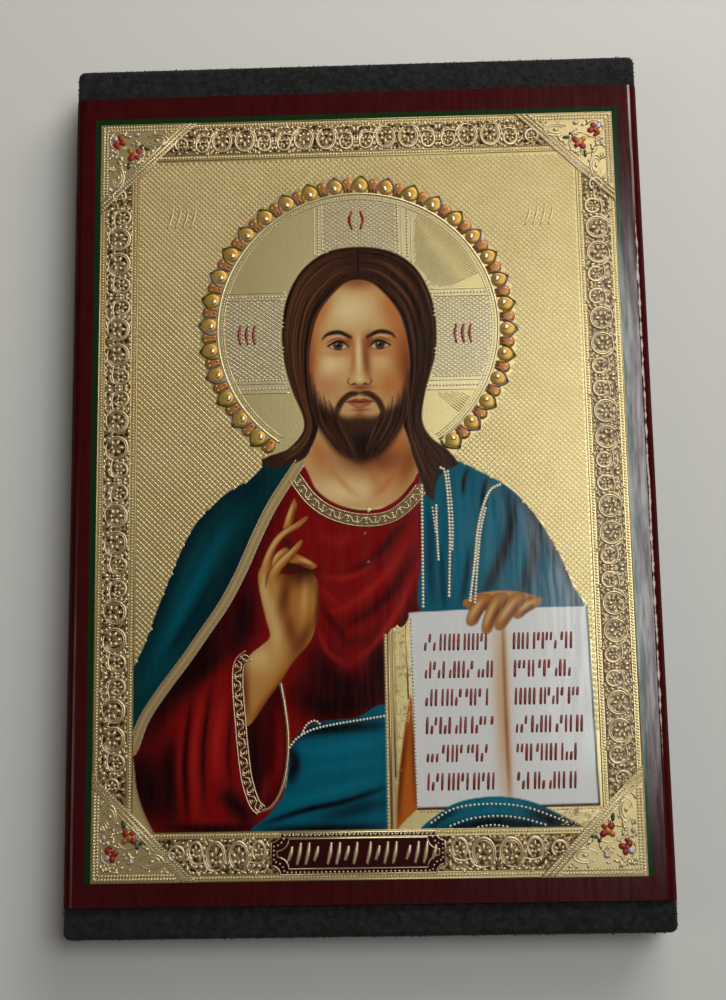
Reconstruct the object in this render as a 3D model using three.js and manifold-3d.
// A small icon panel: a flock-covered board with a foil-stamped print glued over its front and
// bent round its two long edges. Millimetres, +Z out of the picture, +Y to the picture's top.
// The origin is the middle of the back face, on which the panel lies.
import * as THREE from "three";
import { mergeVertices } from "three/addons/utils/BufferGeometryUtils.js";
import Module from "manifold-3d";

const wasm = await Module();
wasm.setup();

// The board
const BOARD_WIDTH = 59;
const BOARD_HEIGHT = 90;
const BOARD_THICKNESS = 6;
const BOARD_CORNER = 1.2;
const CORNER_STEPS = 5;
const EDGE_ROUND = 0.8;
const EDGE_STEPS = 4;

// The printed sheet
const SHEET_THICKNESS = 0.4;
const GLUE_FILM = 0.1;
const SHEET_TOP = 41.6;
const SHEET_BOTTOM = -42;
const FLAP_CLEARANCE = 0.9;
const BEND_STEPS = 6;

// The stamped foil: a rectangle inside the sheet, with a frame of scrolls between its margin and
// the outer edge of the beaded line that bounds the picture
const FOIL = { left: -27, right: 27, bottom: -39.7, top: 38.6 };
const PICTURE = { left: -23.6, right: 23.6, bottom: -35.6, top: 35 };
const MARGIN = 0.7;
const MARGIN_LINE = 0.35;
const PICTURE_LINE = 0.6;
const ROOT = 0.2; // how deep each raised form is sunk into the sheet it grows from

// Heights of the stamped forms above the sheet
const LINE_RISE = 0.12;
const VOLUTE_RISE = 0.16;
const CORNER_RISE = 0.14;
const ROSETTE_RISE = 0.26;
const ARM_RISE = 0.1;
const HALO_RISE = 0.18;
const BOSS_RISE = 0.32;
const HEM_RISE = 0.11;
const BOOK_RISE = 0.13;

// The halo
const HALO = new THREE.Vector2(-0.1, 15.7);
const HALO_RADIUS = 14.5;
const HALO_RIM = 0.4;
const BOSS_RING = 15.35;
const BOSS_COUNT = 36; // in a full circle; the shoulders hide the lowest
const BOSS_SPAN = [-56, 236]; // degrees
const BOSS_LENGTH = 0.85;
const BOSS_WIDTH = 0.9;
const BOSS_SIDES = 6;
const SMALL_BOSS = 0.48;
const SMALL_BOSS_OUT = 0.2; // further from the halo's centre than the large ones
const SMALL_BOSS_RISE = 0.22;
const BOSS_CROWN = 0.35; // of the foot's width
const RIM_STEPS = 48;

// The edges of the three arms of the cross in the halo
const ARM_EDGES = [
  { left: -4.5, right: -3.7, bottom: 23, top: 29.3 },
  { left: 4.0, right: 5.7, bottom: 22.6, top: 28.8 },
  { left: -14, right: -7.6, bottom: 18.9, top: 19.6 },
  { left: -13.2, right: -7, bottom: 8.7, top: 10.5 },
  { left: 7.7, right: 13.6, bottom: 18.9, top: 19.6 },
  { left: 6.9, right: 13.2, bottom: 8.7, top: 10.5 },
];

// The scroll frame repeats one unit of two large and two small volutes
const LARGE_VOLUTE = 1.3;
const SMALL_VOLUTE = 0.95;
const VOLUTE_LINE = 0.3;
const VOLUTE_STEPS = 8;
const VOLUTE_TURN = 1.2 * 2 * Math.PI;
const VOLUTE_DRAW_IN = 0.62; // share of the radius that the curl closes over its turn
const UNIT_LENGTH = 9.8;
const LARGE_OFFSET = 1.38;
const SMALL_OFFSET = 3.7;
const SIDE_UNITS = 6;
const TOP_UNITS = 4;

// The corner pieces and the name plate
const UPPER_CORNER = { along: 9.8, down: 8.6 };
const LOWER_CORNER = { along: 8.5, down: 9.4 };
const ROSETTE_RADIUS = 0.85;
const ROSETTE_SIDES = 8;
const ROSETTES = [[2.1, 2.1], [3.7, 3.5]]; // along and down from the corner
const PLATE_GAP = 0.3;
const PLATE = { left: -9.4, right: 7.6, bottom: -39.1, top: -35.1 };
const PLATE_NOTCH = 0.9;
const NOTCH_STEPS = 4;

// The stamped hems of the robes, each a band of even width along a smooth line
const MANTLE_HEM = {
  line: [[-6.7, 0.6], [-9.5, -5.5], [-12.6, -12.5], [-16.5, -18.5], [-20.8, -23.5], [-22.7, -27.6]],
  width: 1.1,
};
const COLLAR = { line: [[-6.6, 0], [-4.2, -2.9], [0.6, -4.5], [4.2, -3], [6, -1]], width: 1.2 };
const CUFF = { line: [[-11.8, -17.6], [-12.4, -23.5], [-10.6, -32.4]], width: 1.3 };
const HEM_STEPS = 14;

// The gilt edge of the book's pages
const PAGE_EDGE = { left: 2, right: 4.9, bottom: -34.4, top: -15.2 };

const sheetFront = BOARD_THICKNESS + GLUE_FILM + SHEET_THICKNESS;

const MERGE_DISTANCE = 1e-4;

// A closed three.js geometry as a solid that can be joined and cut.
function solidOf(geometry) {
  const bare = geometry.index ? geometry.toNonIndexed() : geometry.clone();
  bare.deleteAttribute("normal");
  bare.deleteAttribute("uv");
  const merged = mergeVertices(bare, MERGE_DISTANCE);
  return new wasm.Manifold(
    new wasm.Mesh({
      numProp: 3,
      vertProperties: merged.attributes.position.array,
      triVerts: new Uint32Array(merged.index.array),
    }),
  );
}

// A joined solid as a three.js geometry.
function geometryOf(solid) {
  const mesh = solid.getMesh();
  const geometry = new THREE.BufferGeometry();
  geometry.setAttribute("position", new THREE.BufferAttribute(mesh.vertProperties, 3));
  geometry.setIndex(new THREE.BufferAttribute(mesh.triVerts, 1));
  geometry.computeVertexNormals();
  return geometry;
}

// A flat form with the given outline, standing `rise` out of the sheet's front.
function raised(shape, rise) {
  const geometry = new THREE.ExtrudeGeometry(shape, {
    depth: ROOT + rise,
    bevelEnabled: false,
    curveSegments: 1,
  });
  return solidOf(geometry.translate(0, 0, sheetFront - ROOT));
}

// A low cone-like boss with an oval foot and a small flat crown.
function boss(centre, length, width, rise, turn, sides) {
  const depth = ROOT + rise;
  const geometry = new THREE.CylinderGeometry(BOSS_CROWN, 1, depth, sides)
    .rotateX(Math.PI / 2)
    .scale(length, width, 1)
    .rotateZ(turn)
    .translate(centre.x, centre.y, sheetFront - ROOT + depth / 2);
  return solidOf(geometry);
}

function rectangle({ left, right, bottom, top }) {
  return [
    new THREE.Vector2(left, bottom),
    new THREE.Vector2(right, bottom),
    new THREE.Vector2(right, top),
    new THREE.Vector2(left, top),
  ];
}

function inset({ left, right, bottom, top }, by) {
  return { left: left + by, right: right - by, bottom: bottom + by, top: top - by };
}

// The band between a rectangle and the same rectangle drawn in by `width`.
function rectangularRing(outer, width) {
  const shape = new THREE.Shape(rectangle(outer));
  shape.holes.push(new THREE.Path(rectangle(inset(outer, width))));
  return shape;
}

// A band of even width along an open run of points.
function ribbon(points, width) {
  const side = (i) => {
    const before = points[Math.max(i - 1, 0)];
    const after = points[Math.min(i + 1, points.length - 1)];
    const along = after.clone().sub(before).normalize();
    return new THREE.Vector2(-along.y, along.x).multiplyScalar(width / 2);
  };
  const left = points.map((p, i) => p.clone().add(side(i)));
  const right = points.map((p, i) => p.clone().sub(side(i)));
  return new THREE.Shape([...right, ...left.reverse()]);
}

function arcPoints(centre, radius, from, to, steps) {
  return Array.from({ length: steps + 1 }, (_, i) => {
    const angle = THREE.MathUtils.degToRad(from + ((to - from) * i) / steps);
    return new THREE.Vector2(Math.cos(angle), Math.sin(angle)).multiplyScalar(radius).add(centre);
  });
}

// One curl of the scroll frame: a line that winds in from `radius` to its eye.
function volute(centre, radius, start, hand) {
  const points = Array.from({ length: VOLUTE_STEPS + 1 }, (_, i) => {
    const share = i / VOLUTE_STEPS;
    const angle = start + hand * share * VOLUTE_TURN;
    const reach = (radius - VOLUTE_LINE / 2) * (1 - VOLUTE_DRAW_IN * share);
    return new THREE.Vector2(Math.cos(angle), Math.sin(angle)).multiplyScalar(reach).add(centre);
  });
  return raised(ribbon(points, VOLUTE_LINE), VOLUTE_RISE);
}

// The volutes of one straight run of the frame, from `start` to `end`, as whole units.
function scrollRun(start, end, units) {
  const along = end.clone().sub(start);
  const unit = along.length() / units;
  const fit = unit / UNIT_LENGTH;
  along.normalize();
  const heading = Math.atan2(along.y, along.x);
  const curls = [
    { offset: -SMALL_OFFSET * fit, radius: SMALL_VOLUTE, hand: -1 },
    { offset: -LARGE_OFFSET * fit, radius: LARGE_VOLUTE, hand: 1 },
    { offset: LARGE_OFFSET * fit, radius: LARGE_VOLUTE, hand: -1 },
    { offset: SMALL_OFFSET * fit, radius: SMALL_VOLUTE, hand: 1 },
  ];
  const made = [];
  for (let i = 0; i < units; i++) {
    for (const { offset, radius, hand } of curls) {
      const centre = start.clone().addScaledVector(along, (i + 0.5) * unit + offset);
      made.push(volute(centre, radius, heading - (hand * Math.PI) / 2, hand));
    }
  }
  return made;
}

// The four runs of scrolls; the lower one is parted by the name plate.
function scrollFrame() {
  const outer = inset(FOIL, MARGIN);
  const halfway = (side) => (outer[side] + PICTURE[side]) / 2;
  const high = FOIL.top - UPPER_CORNER.down;
  const low = FOIL.bottom + LOWER_CORNER.down;
  const upperEnd = FOIL.right - UPPER_CORNER.along;
  const lowerEnd = FOIL.right - LOWER_CORNER.along;
  const run = (x0, y0, x1, y1, units) =>
    scrollRun(new THREE.Vector2(x0, y0), new THREE.Vector2(x1, y1), units);
  return [
    ...run(halfway("left"), low, halfway("left"), high, SIDE_UNITS),
    ...run(halfway("right"), high, halfway("right"), low, SIDE_UNITS),
    ...run(-upperEnd, halfway("top"), upperEnd, halfway("top"), TOP_UNITS),
    ...run(-lowerEnd, halfway("bottom"), PLATE.left - PLATE_GAP, halfway("bottom"), 1),
    ...run(PLATE.right + PLATE_GAP, halfway("bottom"), lowerEnd, halfway("bottom"), 1),
  ];
}

// The raised lines along the foil's margin and round the picture.
function frameLines() {
  return [
    raised(rectangularRing(FOIL, MARGIN_LINE), LINE_RISE),
    raised(rectangularRing(PICTURE, PICTURE_LINE), LINE_RISE),
  ];
}

// A corner piece: a three-sided plate across the frame's corner, with two rosettes.
function cornerPiece(x, y, towardsX, towardsY, { along, down }) {
  const at = (right, below) => new THREE.Vector2(x + towardsX * right, y + towardsY * below);
  const made = [raised(new THREE.Shape([at(0, 0), at(along, 0), at(0, down)]), CORNER_RISE)];
  for (const [right, below] of ROSETTES) {
    const centre = at(right, below);
    made.push(boss(centre, ROSETTE_RADIUS, ROSETTE_RADIUS, ROSETTE_RISE, 0, ROSETTE_SIDES));
  }
  return made;
}

function cornerPieces() {
  return [
    ...cornerPiece(FOIL.left, FOIL.top, 1, -1, UPPER_CORNER),
    ...cornerPiece(FOIL.right, FOIL.top, -1, -1, UPPER_CORNER),
    ...cornerPiece(FOIL.left, FOIL.bottom, 1, 1, LOWER_CORNER),
    ...cornerPiece(FOIL.right, FOIL.bottom, -1, 1, LOWER_CORNER),
  ];
}

// The halo: its rim, the ring of large and small bosses, and the edges of the three arms in it.
function halo() {
  const made = [];
  const rim = arcPoints(HALO, HALO_RADIUS, ...BOSS_SPAN, RIM_STEPS);
  made.push(raised(ribbon(rim, HALO_RIM), HALO_RISE));
  const pitch = 360 / BOSS_COUNT;
  for (let angle = BOSS_SPAN[0] + pitch / 2; angle < BOSS_SPAN[1]; angle += pitch) {
    const turn = THREE.MathUtils.degToRad(angle);
    const [large] = arcPoints(HALO, BOSS_RING, angle, angle, 1);
    const [small] = arcPoints(HALO, BOSS_RING + SMALL_BOSS_OUT, angle + pitch / 2, angle, 1);
    made.push(boss(large, BOSS_LENGTH, BOSS_WIDTH, BOSS_RISE, turn, BOSS_SIDES));
    made.push(boss(small, SMALL_BOSS, SMALL_BOSS, SMALL_BOSS_RISE, turn, BOSS_SIDES));
  }
  for (const edge of ARM_EDGES) {
    made.push(raised(new THREE.Shape(rectangle(edge)), ARM_RISE));
  }
  return made;
}

// The name plate, with each corner cut by a small hollow.
function namePlate() {
  const { left, right, bottom, top } = PLATE;
  const corner = (x, y, from) =>
    arcPoints(new THREE.Vector2(x, y), PLATE_NOTCH, from, from - 90, NOTCH_STEPS);
  const outline = [
    ...corner(left, bottom, 90),
    ...corner(right, bottom, 180),
    ...corner(right, top, 270),
    ...corner(left, top, 360),
  ];
  return [raised(new THREE.Shape(outline), CORNER_RISE)];
}

// A hem: its smooth line drawn out to a band.
function hem({ line, width }) {
  const curve = new THREE.SplineCurve(line.map(([x, y]) => new THREE.Vector2(x, y)));
  return raised(ribbon(curve.getPoints(HEM_STEPS), width), HEM_RISE);
}

function hemsAndPageEdge() {
  const pageEdge = raised(new THREE.Shape(rectangle(PAGE_EDGE)), BOOK_RISE);
  return [hem(MANTLE_HEM), hem(COLLAR), hem(CUFF), pageEdge];
}

// The board: a flat slab with rounded corners and softly rounded edges.
function backingBoard() {
  const x = BOARD_WIDTH / 2 - BOARD_CORNER;
  const y = BOARD_HEIGHT / 2 - BOARD_CORNER;
  const quarter = (cx, cy, from) =>
    arcPoints(new THREE.Vector2(cx, cy), BOARD_CORNER, from, from + 90, CORNER_STEPS);
  const outline = [
    ...quarter(x, -y, -90),
    ...quarter(x, y, 0),
    ...quarter(-x, y, 90),
    ...quarter(-x, -y, 180),
  ];
  return new THREE.ExtrudeGeometry(new THREE.Shape(outline), {
    depth: BOARD_THICKNESS - 2 * EDGE_ROUND,
    bevelThickness: EDGE_ROUND,
    bevelSize: EDGE_ROUND,
    bevelOffset: -EDGE_ROUND,
    bevelSegments: EDGE_STEPS,
  }).translate(0, 0, EDGE_ROUND);
}

// The sheet's cross-section: flat on the front, bent round both edges and down the sides.
function sheetSection() {
  const bendX = BOARD_WIDTH / 2 - EDGE_ROUND;
  const bendZ = BOARD_THICKNESS - EDGE_ROUND;
  const skin = (offset) => {
    const radius = EDGE_ROUND + offset;
    const right = arcPoints(new THREE.Vector2(bendX, bendZ), radius, 0, 90, BEND_STEPS);
    const left = arcPoints(new THREE.Vector2(-bendX, bendZ), radius, 90, 180, BEND_STEPS);
    return [
      new THREE.Vector2(bendX + radius, FLAP_CLEARANCE),
      ...right,
      ...left,
      new THREE.Vector2(-bendX - radius, FLAP_CLEARANCE),
    ];
  };
  const outer = skin(GLUE_FILM + SHEET_THICKNESS);
  const inner = skin(GLUE_FILM);
  return new THREE.Shape([...outer, ...inner.reverse()]);
}

function printedSheet() {
  const blank = new THREE.ExtrudeGeometry(sheetSection(), {
    depth: SHEET_TOP - SHEET_BOTTOM,
    bevelEnabled: false,
  })
    .rotateX(Math.PI / 2)
    .translate(0, SHEET_TOP, 0);
  const forms = [
    solidOf(blank),
    ...frameLines(),
    ...scrollFrame(),
    ...cornerPieces(),
    ...halo(),
    ...namePlate(),
    ...hemsAndPageEdge(),
  ];
  return geometryOf(wasm.Manifold.union(forms));
}

function part(name, geometry, colour, roughness, metalness) {
  const material = new THREE.MeshStandardMaterial({ color: colour, roughness, metalness });
  const mesh = new THREE.Mesh(geometry, material);
  mesh.name = name;
  return mesh;
}

const panel = new THREE.Group();
panel.name = "icon_panel";
panel.add(part("backing_board", backingBoard(), 0x17181c, 0.95, 0));
panel.add(part("printed_sheet", printedSheet(), 0xb89c62, 0.35, 0.6));

export default panel;
